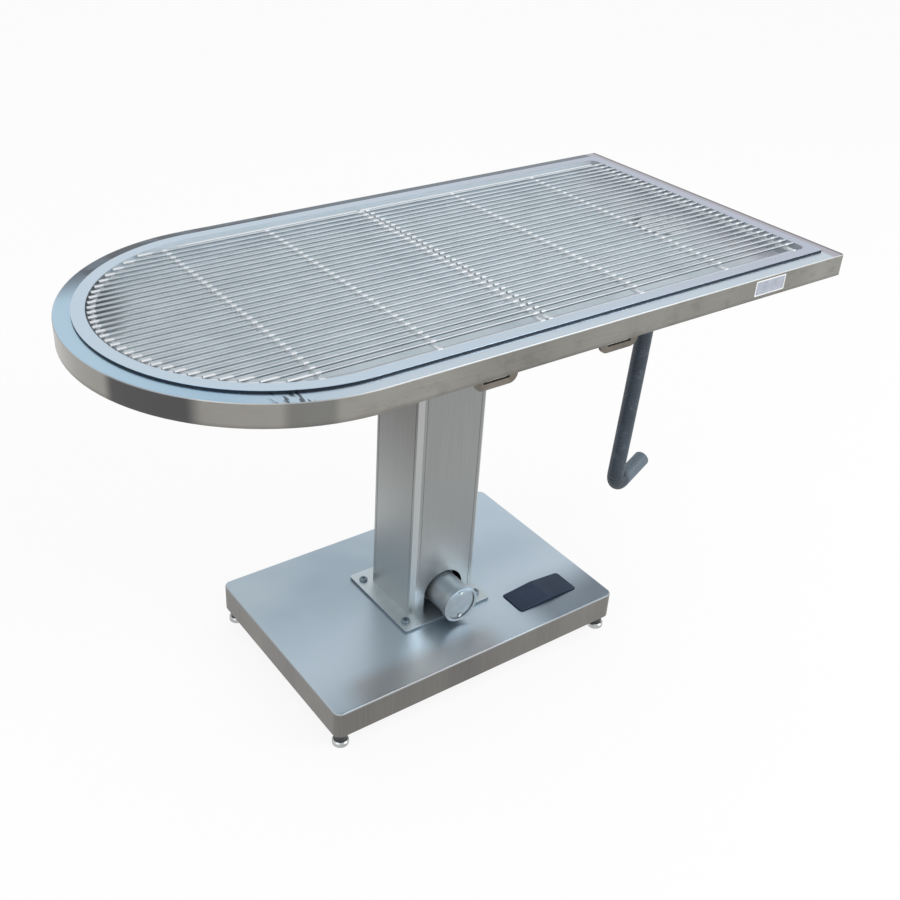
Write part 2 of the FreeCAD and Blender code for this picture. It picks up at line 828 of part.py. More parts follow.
def outer_column():
    """Fixed extrusion with flat corners, face grooves and the arch for the motor."""
    height = column_top_z - flange_top_z
    tube = chamfered_section(0, height, flange_top_z)
    tube = tube.cut(chamfered_section(column_wall, height, flange_top_z))
    grooves = []
    for side in (-1, 1):
        for place in (-1, 1):
            along = place * (column_length_x / 2 - column_groove_inset)
            grooves.append(box(column_groove_width, 2 * column_groove_depth, height, along,
                               side * column_length_y / 2, flange_top_z))
            along = place * (column_length_y / 2 - column_groove_inset)
            grooves.append(box(2 * column_groove_depth, column_groove_width, height,
                               side * column_length_x / 2, along, flange_top_z))
    arch_z = arch_top_z - arch_half_width
    front = -column_length_y / 2
    arch = rod(arch_half_width, Vector(0, front - cut_overrun, arch_z),
               Vector(0, front + column_wall + cut_overrun, arch_z))
    legs = Part.makeBox(2 * arch_half_width, column_wall + 2 * cut_overrun, arch_z - flange_top_z,
                        Vector(-arch_half_width, front - cut_overrun, flange_top_z))
    return tube.cut(Part.makeCompound(grooves)).cut(arch.fuse(legs))


def inner_column():
    tube = column_section(inner_length_x, inner_length_y, mount_plate_z - inner_bottom_z,
                          inner_bottom_z, inner_corner_radius)
    core = column_section(inner_length_x - 2 * inner_wall, inner_length_y - 2 * inner_wall,
                          mount_plate_z - inner_bottom_z, inner_bottom_z,
                          inner_corner_radius - inner_wall)
    bosses = []
    for x, y in column_screw_places():
        corner_x = math.copysign(inner_length_x / 2 - inner_wall, x)
        corner_y = math.copysign(inner_length_y / 2 - inner_wall, y)
        reach_x = abs(corner_x - x) + 2 * column_screw_radius
        reach_y = abs(corner_y - y) + 2 * column_screw_radius
        boss_top = mount_plate_z
        boss_bottom = mount_plate_z - 2 * column_screw_length
        block = box(reach_x, reach_y, boss_top - boss_bottom, corner_x - math.copysign(reach_x / 2, x),
                    corner_y - math.copysign(reach_y / 2, y), boss_bottom)
        port = upright(column_screw_radius, x, y, mount_plate_z - column_screw_length, boss_top)
        bosses.append(block.cut(port))
    return tube.cut(core).multiFuse(bosses).removeSplitter()


def upper_glide():
    """Plastic guide ring in the mouth of the fixed column, with a lip over its end."""
    bottom = column_top_z - glide_length
    top = column_top_z + glide_lip
    plug = chamfered_section(column_wall, top - bottom, bottom)
    lip = chamfered_section(0, glide_lip, column_top_z)
    bore = column_section(inner_length_x + 2 * glide_clearance, inner_length_y + 2 * glide_clearance,
                          top - bottom, bottom, inner_corner_radius + glide_clearance)
    return plug.fuse(lip).cut(bore).removeSplitter()


def lower_glide():
    """Plastic guide ring round the foot of the moving column."""
    ring = chamfered_section(column_wall + glide_clearance, glide_length, inner_bottom_z)
    return ring.cut(column_section(inner_length_x, inner_length_y, glide_length,
                                   inner_bottom_z, inner_corner_radius))


def top_mount_plate():
    plate = rounded_plate(mount_plate_length, mount_plate_width, mount_plate_thickness, 0, 0,
                          mount_plate_z, mount_plate_corner_radius)
    for x, y in column_screw_places():
        plate = plate.cut(upright(column_screw_radius + screw_hole_clearance, x, y,
                                  mount_plate_z, arm_bottom_z))
    return plate


def column_screws():
    screws = []
    for x, y in column_screw_places():
        shank = upright(column_screw_radius - running_clearance, x, y,
                        arm_bottom_z - mount_plate_thickness - column_screw_length + seat_gap, arm_bottom_z)
        head = upright(column_screw_head_radius, x, y, arm_bottom_z,
                       arm_bottom_z + column_screw_head_height)
        screws.append(shank.fuse(head))
    return Part.makeCompound(screws)


# Lifting drive

def gearbox_housing():
    """Closed gear case on the flange plate, bored for the spindle and its bearing."""
    case = box(gearbox_length, gearbox_length, gearbox_height, 0, 0, flange_top_z)
    case = case.makeChamfer(gearbox_chamfer, [edge for edge in case.Edges if is_upright(edge)])
    bore = upright(spindle_radius + running_clearance, 0, 0,
                   gearbox_top_z - spindle_foot_depth, gearbox_top_z)
    seat = upright(bearing_radius, 0, 0, gearbox_top_z - bearing_height, gearbox_top_z)
    return case.cut(bore).cut(seat)


def spindle_bearing():
    ring = upright(bearing_radius, 0, 0, gearbox_top_z - bearing_height, gearbox_top_z)
    return ring.cut(upright(spindle_radius + running_clearance, 0, 0,
                            gearbox_top_z - bearing_height, gearbox_top_z))


def spindle():
    """Lifting screw; its thread is drawn as rings of the same depth above the bearing."""
    foot = gearbox_top_z - spindle_foot_depth + seat_gap
    points = [(0, foot), (spindle_radius, foot)]
    first = inner_bottom_z + spindle_groove_pitch
    for index in range(spindle_groove_count):
        start = first + index * spindle_groove_pitch
        points += [
            (spindle_radius, start),
            (spindle_radius - spindle_root_depth, start + spindle_root_depth),
            (spindle_radius - spindle_root_depth, start + spindle_groove_width),
            (spindle_radius, start + spindle_groove_width + spindle_root_depth),
        ]
    points += [(spindle_radius, spindle_top_z), (0, spindle_top_z)]
    return turned(points, 0, 0)


def nut_plate():
    plate = column_section(inner_length_x - 2 * inner_wall, inner_length_y - 2 * inner_wall,
                           nut_plate_thickness, inner_bottom_z, inner_corner_radius - inner_wall)
    return plate.cut(upright(nut_radius + nut_hole_gap, 0, 0, inner_bottom_z,
                             inner_bottom_z + nut_plate_thickness))


def drive_nut():
    bore = spindle_radius + running_clearance
    top = inner_bottom_z + nut_plate_thickness + nut_flange_height
    return turned([
        (bore, inner_bottom_z),
        (nut_radius, inner_bottom_z),
        (nut_radius, inner_bottom_z + nut_plate_thickness),
        (nut_flange_radius, inner_bottom_z + nut_plate_thickness),
        (nut_flange_radius, top),
        (nut_radius, top),
        (nut_radius, inner_bottom_z + nut_height),
        (bore, inner_bottom_z + nut_height),
    ], 0, 0)


def motor_piece(radius, start, length):
    return rod(radius, Vector(0, -start, motor_axis_z), Vector(0, -start - length, motor_axis_z))


def motor_can():
    start = gearbox_length / 2
    can = motor_piece(motor_radius, start, motor_length)
    return can.fuse(motor_piece(motor_flange_radius, start, motor_flange_length)).removeSplitter()


def motor_screw_places():
    return [motor_axis_z - motor_cap_screw_offset, motor_axis_z + motor_cap_screw_offset]


def motor_end_cap():
    """Cap with a raised collar ring and a sunk middle."""
    start = -motor_front_y
    cap = motor_piece(motor_cap_radius, start, motor_cap_length)
    cap = cap.cut(motor_piece(motor_cap_radius - motor_cap_rim, start + motor_cap_length - motor_cap_recess,
                              motor_cap_recess))
    return cap


def motor_cap_screws():
    start_y = motor_front_y - motor_cap_length + motor_cap_recess
    heads = [rod(motor_screw_radius, Vector(0, start_y, z),
                 Vector(0, start_y - motor_screw_head_height, z)) for z in motor_screw_places()]
    return Part.makeCompound(heads)


# Column flange

def flange_screw_places():
    return [(flange_offset_x + sign_x * flange_screw_spacing_x / 2, sign_y * flange_screw_spacing_y / 2)
            for sign_x in (-1, 1) for sign_y in (-1, 1)]


def column_flange():
    plate = rounded_plate(flange_length, flange_width, flange_thickness, flange_offset_x, 0,
                          base_top_z, flange_corner_radius)
    for x, y in flange_screw_places():
        plate = plate.cut(upright(flange_screw_radius + screw_hole_clearance, x, y,
                                  base_top_z, flange_top_z))
    return plate


def flange_screws():
    """Round-headed socket screws through the flange and the cover into the bearers."""
    screws = []
    for x, y in flange_screw_places():
        shank = upright(flange_screw_radius, x, y, flange_top_z - flange_screw_length, flange_top_z)
        head = upright(flange_screw_head_radius, x, y, flange_top_z,
                       flange_top_z + flange_screw_head_height)
        head_top = flange_top_z + flange_screw_head_height
        head = round_over(head, head_top, flange_screw_head_height / 2)
        socket = upright(flange_socket_radius, x, y, head_top - flange_socket_depth, head_top)
        screws.append(shank.fuse(head).cut(socket))
    return Part.makeCompound(screws)


# Base

def base_block(inset, top):
    block = rounded_plate(base_length - 2 * inset, base_width - 2 * inset, top - base_clearance,
                          base_offset_x, 0, base_clearance, base_corner_radius - inset)
    return round_over(block, top, base_edge_radius - inset)


def base_cover():
    """Folded cover, open below, with the pedal opening and the holes for its screws."""
    cover = base_block(0, base_top_z).cut(base_block(base_sheet, base_under_z))
    cover = cover.cut(rounded_plate(pedal_length + 2 * pedal_gap, pedal_width + 2 * pedal_gap,
                                    base_sheet + 2 * cut_overrun, pedal_x, pedal_y,
                                    base_under_z - cut_overrun, pedal_corner_radius + pedal_gap))
    for x, y in flange_screw_places():
        cover = cover.cut(upright(flange_screw_radius + screw_hole_clearance, x, y,
                                  base_under_z, base_top_z))
    wall_y = base_width / 2
    gland_z = (base_clearance + tube_bottom_z) / 2
    return cover.cut(rod(gland_radius, Vector(gland_x, wall_y - base_sheet - cut_overrun, gland_z),
                         Vector(gland_x, wall_y + cut_overrun, gland_z)))


def foot_places():
    half_x = base_length / 2 - foot_inset
    half_y = base_width / 2 - foot_inset
    return {
        "front_left": (base_offset_x - half_x, -half_y),
        "front_right": (base_offset_x + half_x, -half_y),
        "back_left": (base_offset_x - half_x, half_y),
        "back_right": (base_offset_x + half_x, half_y),
    }


def with_foot_bores(tube):
    for x, y in foot_places().values():
        tube = tube.cut(upright(insert_radius, x, y, tube_bottom_z, base_under_z))
    return tube


def base_rail(side):
    """Lengthwise frame tube under the cover's long edge, bored for two foot inserts."""
    half = base_length / 2 - tube_inset - base_corner_radius / 2
    center_y = side * (base_width / 2 - tube_inset - base_tube / 2)
    return with_foot_bores(tube_along_x(base_offset_x - half, base_offset_x + half, center_y,
                                        tube_bottom_z, base_tube, base_tube, base_tube_wall))


def base_cross(side):
    half = base_width / 2 - tube_inset - base_tube
    center_x = base_offset_x + side * (base_length / 2 - tube_inset - base_tube / 2
                                       - base_corner_radius / 2)
    return tube_along_y(-half, half, center_x, tube_bottom_z, base_tube, base_tube, base_tube_wall)


def base_bearer(side):
    """Lengthwise tube under the flange screws, between the two cross tubes."""
    half = base_length / 2 - tube_inset - base_tube - base_corner_radius / 2
    center_y = side * flange_screw_spacing_y / 2
    bearer = tube_along_x(base_offset_x - half, base_offset_x + half, center_y,
                          tube_bottom_z, base_tube, base_tube, base_tube_wall)
    for x, y in flange_screw_places():
        bearer = bearer.cut(upright(flange_screw_radius, x, y,
                                    base_under_z - base_tube_wall, base_under_z))
    return bearer


def control_box():
    case = rounded_plate(control_box_length, control_box_width, control_box_height, control_box_x,
                         control_box_y, base_under_z - control_box_height, control_box_edge_radius)
    return case


def cable_gland():
    """Gland in the back wall that the mains lead would leave through."""
    wall_y = base_width / 2
    gland_z = (base_clearance + tube_bottom_z) / 2
    inside = wall_y - base_sheet - gland_nut_length
    outside = wall_y + gland_flange_length

    def part_of(radius, start, end):
        return rod(radius, Vector(gland_x, start, gland_z), Vector(gland_x, end, gland_z))

    neck = part_of(gland_radius, inside, outside + gland_neck_length)
    flange = part_of(gland_flange_radius, wall_y, outside)
    nut = part_of(gland_flange_radius, inside, wall_y - base_sheet)
    bore = part_of(gland_bore_radius, inside, outside + gland_neck_length)
    return joined([neck, flange, nut]).cut(bore)


# Foot pedal

def is_crest(edge):
    return edge.BoundBox.ZMin > base_top_z + pedal_rise + (pedal_crest - pedal_rise) / 2 \
        and edge.BoundBox.XLength < pedal_corner_radius


def pedal_rocker():
    """Black rocker with a low crest over its pin, and a hub on a rib below."""
    half = pedal_length / 2
    end_top = base_top_z + pedal_rise
    outline = [
        Vector(-half, 0, rocker_under_z),
        Vector(-half, 0, end_top),
        Vector(0, 0, base_top_z + pedal_crest),
        Vector(half, 0, end_top),
        Vector(half, 0, rocker_under_z),
    ]
    face = Part.Face(Part.makePolygon(outline + outline[:1]))
    body = face.extrude(Vector(0, pedal_width, 0))
    body = body.makeFillet(pedal_corner_radius, [edge for edge in body.Edges if is_upright(edge)])
    sloping = [edge for edge in body.Edges
               if edge.BoundBox.ZMin > end_top - pedal_edge_radius and not is_crest(edge)]
    body = body.makeFillet(pedal_edge_radius, sloping)
    body.translate(Vector(pedal_x, pedal_y - pedal_width / 2, 0))
    hub_half = pedal_width / 2 - pedal_hub_side_gap
    rib = box(pedal_rib_width, 2 * hub_half, rocker_under_z - pedal_axis_z, pedal_x, pedal_y, pedal_axis_z)
    hub = rod(pedal_hub_radius, Vector(pedal_x, pedal_y - hub_half, pedal_axis_z),
              Vector(pedal_x, pedal_y + hub_half, pedal_axis_z))
    bore = rod(pedal_pin_radius + running_clearance, Vector(pedal_x, pedal_y - hub_half, pedal_axis_z),
               Vector(pedal_x, pedal_y + hub_half, pedal_axis_z))
    return joined([body, rib, hub]).cut(bore)


def pedal_housing():
    """Open-topped cup under the pedal opening that carries the pin and the switches."""
    length = pedal_length + 2 * housing_margin
    width = pedal_width + 2 * housing_margin
    cup = box(length, width, housing_depth, pedal_x, pedal_y, base_under_z - housing_depth)
    hollow = box(length - 2 * housing_wall, width - 2 * housing_wall, housing_depth - housing_wall,
                 pedal_x, pedal_y, housing_floor_z)
    pin_hole = pedal_pin(0)
    bosses = []
    for side in (-1, 1):
        inner_y = pedal_y + side * (width / 2 - housing_wall)
        face_y = pedal_y + side * (pedal_width / 2 - pedal_hub_side_gap + seat_gap)
        bosses.append(rod(pedal_hub_radius, Vector(pedal_x, inner_y, pedal_axis_z),
                          Vector(pedal_x, face_y, pedal_axis_z)))
    return cup.cut(hollow).multiFuse(bosses).removeSplitter().cut(pin_hole)


def pedal_pin(shorten=seat_gap):
    half = pedal_width / 2 + housing_margin - shorten
    return rod(pedal_pin_radius, Vector(pedal_x, pedal_y - half, pedal_axis_z),
               Vector(pedal_x, pedal_y + half, pedal_axis_z))


def clearance_under_pedal(offset):
    """Lowest level of the rocker's underside at an offset from its axis, pressed fully."""
    return rocker_under_z - offset * math.sin(math.radians(pedal_swing_degrees)) - buffer_play


def pedal_switches():
    switches = []
    for side in (-1, 1):
        x = pedal_x + side * switch_x
        body = box(switch_length, switch_width, switch_height, x, pedal_y, housing_floor_z)
        plunger = upright(plunger_radius, x, pedal_y, housing_floor_z + switch_height,
                          clearance_under_pedal(switch_x + plunger_radius))
        switches.append(body.fuse(plunger))
    return Part.makeCompound(switches)


def pedal_buffers():
    top = clearance_under_pedal(buffer_x + buffer_radius)
    return Part.makeCompound([upright(buffer_radius, pedal_x + side * buffer_x, pedal_y,
                                      housing_floor_z, top) for side in (-1, 1)])


# Levelling feet

def foot_pad(x, y):
    top = foot_pad_height
    return turned([
        (0, 0),
        (foot_pad_radius - foot_pad_edge, 0),
        (foot_pad_radius, foot_pad_edge),
        (foot_pad_radius, top - foot_pad_edge),
        (foot_pad_radius - foot_pad_edge, top),
        (foot_journal_radius + running_clearance, top),
        (foot_journal_radius + running_clearance, foot_journal_floor),
        (0, foot_journal_floor),
    ], x, y)


def foot_stud(x, y):
    collar_bottom = foot_pad_height + foot_collar_gap
    bottom = foot_journal_floor + foot_collar_gap
    return turned([
        (0, bottom),
        (foot_journal_radius, bottom),
        (foot_journal_radius, collar_bottom),
        (foot_collar_radius, collar_bottom),
        (foot_collar_radius, foot_collar_top_z),
        (foot_stud_radius, foot_collar_top_z),
        (foot_stud_radius, foot_stud_top_z),
        (0, foot_stud_top_z),
    ], x, y)


def foot_inserts():
    """Threaded inserts welded into the frame rails above each foot."""
    inserts = []
    bore = foot_stud_radius + running_clearance
    for x, y in foot_places().values():
        inserts.append(turned([
            (bore, tube_bottom_z - insert_flange_height),
            (insert_flange_radius, tube_bottom_z - insert_flange_height),
            (insert_flange_radius, tube_bottom_z),
            (insert_radius, tube_bottom_z),
            (insert_radius, base_under_z),
            (bore, base_under_z),
        ], x, y))
    return Part.makeCompound(inserts)


def foot_jam_nuts():
    top = tube_bottom_z - insert_flange_height
    nuts = []
    for x, y in foot_places().values():
        corner = jam_nut_width / math.sqrt(3)
        ring = [Vector(x + corner * math.cos(math.radians(60 * step)),
                       y + corner * math.sin(math.radians(60 * step)), top - jam_nut_height)
                for step in range(7)]
        nut = Part.Face(Part.makePolygon(ring)).extrude(Vector(0, 0, jam_nut_height))
        nuts.append(nut.cut(upright(foot_stud_radius + running_clearance, x, y,
                                    top - jam_nut_height, top)))
    return Part.makeCompound(nuts)


os.makedirs("parts", exist_ok=True)

save("table_rim", table_rim())
save("sink_tray", sink_tray())
save("grid_round", grid_round())
save("grid_square", grid_square())
save("drain_body", drain_body())
save("drain_gasket", drain_gasket())
save("drain_nut", drain_nut())
save("strainer", strainer())
save("hose_cuff", hose_cuff())
save("hose_clamp", hose_clamp())
save("drain_hose", drain_hose())
for end_name, side_x in (("left", -1), ("right", 1)):
    for face_name, side_y in (("front", -1), ("back", 1)):
        save("tie_cleat_%s_%s" % (face_name, end_name), tie_cleat(side_x, side_y))
    save("support_arm_" + end_name, support_arm(side_x))
    save("base_cross_" + end_name, base_cross(side_x))
for face_name, side_y in (("front", -1), ("back", 1)):
    save("table_rail_" + face_name, table_rail(side_y))
    save("base_rail_" + face_name, base_rail(side_y))
    save("base_bearer_" + face_name, base_bearer(side_y))
save("tray_pads", tray_pads())
save("outer_column", outer_column())
save("inner_column", inner_column())
save("upper_glide", upper_glide())
save("lower_glide", lower_glide())
save("top_mount_plate", top_mount_plate())
save("column_screws", column_screws())
save("gearbox_housing", gearbox_housing())
save("spindle_bearing", spindle_bearing())
save("spindle", spindle())
save("nut_plate", nut_plate())
save("drive_nut", drive_nut())
save("motor_can", motor_can())
save("motor_end_cap", motor_end_cap())
save("motor_cap_screws", motor_cap_screws())
save("column_flange", column_flange())
save("flange_screws", flange_screws())
save("base_cover", base_cover())
save("control_box", control_box())
save("cable_gland", cable_gland())
save("pedal_rocker", pedal_rocker())
save("pedal_housing", pedal_housing())
save("pedal_pin", pedal_pin())
save("pedal_switches", pedal_switches())
save("pedal_buffers", pedal_buffers())
save("foot_inserts", foot_inserts())
save("foot_jam_nuts", foot_jam_nuts())
for place, (foot_x, foot_y) in foot_places().items():
    save("foot_pad_" + place, foot_pad(foot_x, foot_y))
    save("foot_stud_" + place, foot_stud(foot_x, foot_y))
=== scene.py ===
"""Looks of the lifting treatment table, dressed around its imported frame."""

import bmesh
import bpy
from mathutils import Matrix, Vector


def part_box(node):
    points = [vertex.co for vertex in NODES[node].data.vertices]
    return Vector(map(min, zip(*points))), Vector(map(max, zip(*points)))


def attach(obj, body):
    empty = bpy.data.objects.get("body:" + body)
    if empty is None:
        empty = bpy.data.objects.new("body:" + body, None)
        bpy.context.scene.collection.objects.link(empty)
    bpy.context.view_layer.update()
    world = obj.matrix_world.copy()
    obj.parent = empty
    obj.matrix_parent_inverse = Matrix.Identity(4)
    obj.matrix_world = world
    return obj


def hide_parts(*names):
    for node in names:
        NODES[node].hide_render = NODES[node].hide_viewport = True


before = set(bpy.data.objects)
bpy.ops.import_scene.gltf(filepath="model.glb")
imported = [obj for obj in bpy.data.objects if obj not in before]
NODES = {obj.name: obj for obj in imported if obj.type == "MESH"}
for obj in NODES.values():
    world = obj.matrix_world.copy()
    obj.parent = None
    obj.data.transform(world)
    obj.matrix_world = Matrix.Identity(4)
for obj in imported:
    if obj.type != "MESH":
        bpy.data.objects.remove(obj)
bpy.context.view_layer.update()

# Camera: place, axes and lens that match the photograph's view
CAMERA_PLACE = Vector((-1.0056, -1.3351, 1.4058))
CAMERA_RIGHT = Vector((0.82445258, -0.56460984, 0.03864805))
CAMERA_UP = Vector((0.26938717, 0.45158709, 0.85058783))
CAMERA_LENS = 46.19
CAMERA_SENSOR = 36.0
CAMERA_SHIFT = (0.0468, -0.0013)
CAMERA_REACH = 50

# Light: each lamp's name, place, target, width, power and colour
LAMPS = (
    ("key", (2.2, -2.6, 2.8), (0, 0, 0.4), 1.8, 60, (1.0, 0.98, 0.96)),
    ("fill", (-2.6, -1.0, 2.2), (0, 0, 0.5), 2.0, 18, (0.94, 0.97, 1.0)),
)
ROOM_LIGHT = 0.78
FLOOR_HALF_WIDTH = 20
FLOOR_WHITE_SHARE = 0.88

# Levels and places on the object, in metres; a pair is where a tone starts and ends its change
RIM_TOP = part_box("table_rim")[1][2]
SKIRT_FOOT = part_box("table_rim")[0][2]
TRAY_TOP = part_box("sink_tray")[1][2]
BASE_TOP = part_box("base_cover")[1][2]
BASE_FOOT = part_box("base_cover")[0][2]
END_BAND = (0.562, 0.572)
END_EDGE = (0.584, 0.588)
FLANGE_END = (0.556, 0.560)
FLANGE_REACH = (0.262, 0.266)
WELL_FLOOR = (0.6968, 0.6974)
WELL_END = (0.54, 0.545)
DRAIN_CENTER_X = 0.489
ROUND_CENTER_X = -0.294
BAR_LINES = (-0.353, -0.1763, 0.0005, 0.0145, 0.1917, 0.3735, 0.534)
BAR_HALF_WIDTH = 0.0040
WIRE_END_REACH = (0.2395, 0.2425)
WIRE_FOOT = (0.7206, 0.7214)
FRONT_ROD = (-0.236, -0.232)

# Drain hose: the points of its route, its radii, and the steps of a rib as share and radius
HOSE_ROUTE = (
    (DRAIN_CENTER_X, 0.0, 0.6130),
    (DRAIN_CENTER_X, 0.0, 0.5200),
    (0.4795, 0.0, 0.3400),
    (0.4698, 0.0, 0.1864),
    (0.4680, 0.0, 0.1585),
    (0.4880, 0.0064, 0.1400),
    (0.5144, 0.0144, 0.1449),
    (0.5760, 0.0330, 0.1565),
)
HOSE_RADIUS = 0.016
HOSE_ROOT = 0.0151
HOSE_BORE = 0.0130
HOSE_RIB_PITCH = 0.0053
HOSE_RIB_STEPS = ((0.0, HOSE_ROOT), (0.22, HOSE_ROOT), (0.42, HOSE_RADIUS), (0.80, HOSE_RADIUS))
HOSE_SIDES = 32

# Bare plate on the skirt: its corners, its pale edge and the rounding of its corners
SKIRT_PLATE = Vector((0.3844, -0.3004, 0.6910)), Vector((0.4519, -0.2998, 0.7164))
SKIRT_PLATE_EDGE = 0.0022
SKIRT_PLATE_LIFT = 0.0002
SKIRT_PLATE_CORNER = 0.0012


# Camera and pieces

def add_camera():
    """The view's camera, square to its measured axes."""
    data = bpy.data.cameras.new("view")
    data.sensor_width = CAMERA_SENSOR
    data.lens = CAMERA_LENS
    data.shift_x, data.shift_y = CAMERA_SHIFT
    data.clip_end = CAMERA_REACH
    camera = bpy.data.objects.new("view", data)
    back = CAMERA_RIGHT.cross(CAMERA_UP)
    turn = Matrix((CAMERA_RIGHT, CAMERA_UP, back)).transposed()
    camera.matrix_world = Matrix.Translation(CAMERA_PLACE) @ turn.to_4x4()
    bpy.context.scene.collection.objects.link(camera)
    bpy.context.scene.camera = camera


def new_piece(name, shape, finish, body=None):
    """Makes the object of a finished bmesh and puts it on its body."""
    mesh = bpy.data.meshes.new(name)
    shape.normal_update()
    shape.to_mesh(mesh)
    shape.free()
    piece = bpy.data.objects.new(name, mesh)
    bpy.context.scene.collection.objects.link(piece)
    mesh.materials.append(finish.material)
    if body:
        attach(piece, body)
    return piece


# Values, node trees and finishes

class Value:
    """A number or colour that varies over a surface, for use in ordinary sums."""

    def __init__(self, owner, socket):
        self.owner = owner
        self.socket = socket

    def _sum(self, operation, *terms):
        return self.owner.node("Math", {"operation": operation}, enumerate(terms))

    def __add__(self, other):
        return self._sum("ADD", self, other)

    def __mul__(self, other):
        return self._sum("MULTIPLY", self, other)

    def __sub__(self, other):
        return self._sum("SUBTRACT", self, other)

    def __rsub__(self, other):
        return self._sum("SUBTRACT", other, self)

    def __pow__(self, other):
        return self._sum("POWER", self, other)

    __radd__ = __add__
    __rmul__ = __mul__

    def size(self):
        """The number without its sign."""
        return self._sum("ABSOLUTE", self)

    def larger(self, other):
        """The larger of two numbers."""
        return self._sum("MAXIMUM", self, other)

    def step(self, low, high):
        """0 below low, 1 above high, smooth between them."""
        inputs = [("Value", self), ("From Min", low), ("From Max", high)]
        return self.owner.node("MapRange", {"interpolation_type": "SMOOTHSTEP"}, inputs)

    def band(self, low, high, soft):
        """1 between low and high, with soft edges."""
        return self.step(low - soft, low + soft) * (1 - self.step(high - soft, high + soft))


class NodeTree:
    """A node tree, whose nodes give values and take them."""

    def __init__(self, tree):
        self.tree = tree

    def feed(self, socket, value):
        if isinstance(value, Value):
            self.tree.links.new(value.socket, socket)
        elif socket.type == "RGBA" and len(value) == 3:
            socket.default_value = (*value, 1.0)
        else:
            socket.default_value = value

    def node(self, kind, settings=None, inputs=(), output=0):
        """Adds a node, with its settings first and then the values or links of its sockets."""
        node = self.tree.nodes.new("ShaderNode" + kind)
        for key, value in (settings or {}).items():
            if key == "stops":
                for stop, (place, colour) in zip(self._stops(node, len(value)), value):
                    stop.position = place
                    stop.color = (*colour, 1.0)
            else:
                setattr(node, key, value)
        for key, value in inputs:
            self.feed(node.inputs[key], value)
        return Value(self, node.outputs[output])

    def _stops(self, node, count):
        elements = node.color_ramp.elements
        while len(elements) < count:
            elements.new(1.0)
        return elements

    def seen(self):
        """1 for what the camera sees, also in metal and through glass."""
        straight, mirrored, through = (
            self.node("LightPath", output=ray)
            for ray in ("Is Camera Ray", "Is Glossy Ray", "Is Transmission Ray"))
        return straight.larger(mirrored).larger(through)

    def blend(self, factor, first, second):
        """Two shaders mixed, and joined to the tree's output."""
        mixed = self.node("MixShader", None, [(0, factor), (1, first), (2, second)])
        outputs = [node for node in self.tree.nodes if node.type.startswith("OUTPUT")]
        self.feed(outputs[0].inputs["Surface"], mixed)


class Finish(NodeTree):
    """A procedural finish: one material and the nodes that colour it."""

    def __init__(self, name, colour, roughness, metallic=0.0, **fixed):
        self.material = bpy.data.materials.new(name)
        self.material.use_nodes = True
        super().__init__(self.material.node_tree)
        self.shader = self.tree.nodes["Principled BSDF"]
        self.set("Base Color", colour)
        self.set("Roughness", roughness)
        self.set("Metallic", metallic)
        for socket, value in fixed.items():
            self.set(socket.replace("_", " "), value)

    def set(self, socket, value):
        self.feed(self.shader.inputs[socket], value)

    def axis(self, letter):
        """One Object coordinate, in metres."""
        coordinates = self.node("TexCoord", output="Object")
        return self.node("SeparateXYZ", None, [(0, coordinates)], output=letter)

    def noise(self, scale, detail=3.0, roughness=0.55, stretch=(1, 1, 1)):
        coordinates = self.node("TexCoord", output="Object")
        place = self.node("Mapping", None, [("Vector", coordinates), ("Scale", stretch)])
        inputs = [("Vector", place), ("Scale", scale), ("Detail", detail),
                  ("Roughness", roughness)]
        return self.node("TexNoise", None, inputs)

    def mix(self, factor, first, second):
        inputs = [(0, factor), (6, first), (7, second)]
        return self.node("Mix", {"data_type": "RGBA"}, inputs, output=2)

    def ramp(self, factor, *stops):
        return self.node("ValToRGB", {"stops": stops}, [("Fac", factor)])

    def tones(self, factor, dark, light):
        """From a dark tone to a light one as a noise rises."""
        return self.ramp(factor, (0.3, dark), (0.7, light))

    def reach(self, center_x):
        """Distance from the middle line of a top whose left end is round about center_x."""
        past = (center_x - self.axis("X")).larger(0.0)
        y = self.axis("Y")
        return (past * past + y * y) ** 0.5

    def bump(self, height, distance, strength=1.0):
        inputs = [("Height", height), ("Distance", distance), ("Strength", strength)]
        self.set("Normal", self.node("Bump", None, inputs))


def screen(red, green, blue):
    """A colour given as it looks on screen, from 0 to 255, as the shader takes it."""
    return tuple(((channel / 255 + 0.055) / 1.055) ** 2.4 for channel in (red, green, blue))


# Finishes of the top

def rim_finish():
    """Polished band on top, painted with reflections that are blue from the sky at the left,
    over a cloudy brown-grey skirt, with a painted highlight along the top edge.
    """
    rim = Finish("rim_steel", screen(150, 146, 139), 0.22, 1.0)
    x, y, z = rim.axis("X"), rim.axis("Y"), rim.axis("Z")
    patches = rim.noise(5.5, 2, 0.5, (1, 1, 0.25))
    brushed = rim.noise(14, 4, 0.6, (1, 1, 90))
    back = y.step(0.12, 0.22)
    front = 1 - y.step(-0.08, 0.0)
    edge = z.band(RIM_TOP - 0.0022, RIM_TOP - 0.0008, 0.0004)

    side = rim_skirt(rim, patches, brushed, front)
    top = rim_band(rim, back, front)
    # Painted reflection: the flat band on top is blue, the skirt below brown-grey
    colour = rim.mix(z.step(RIM_TOP - 0.0014, RIM_TOP - 0.0004), side, top)
    # Painted highlight along the rounded top edge, left off at the back
    colour = rim.mix(edge * (1 - back) * 0.35, colour, screen(206, 210, 214))
    rim.set("Base Color", colour)
    rim.set("Roughness", 0.20 + 0.12 * patches + 0.25 * edge)
    rim.bump(brushed, 0.00004, 0.3)
    return rim


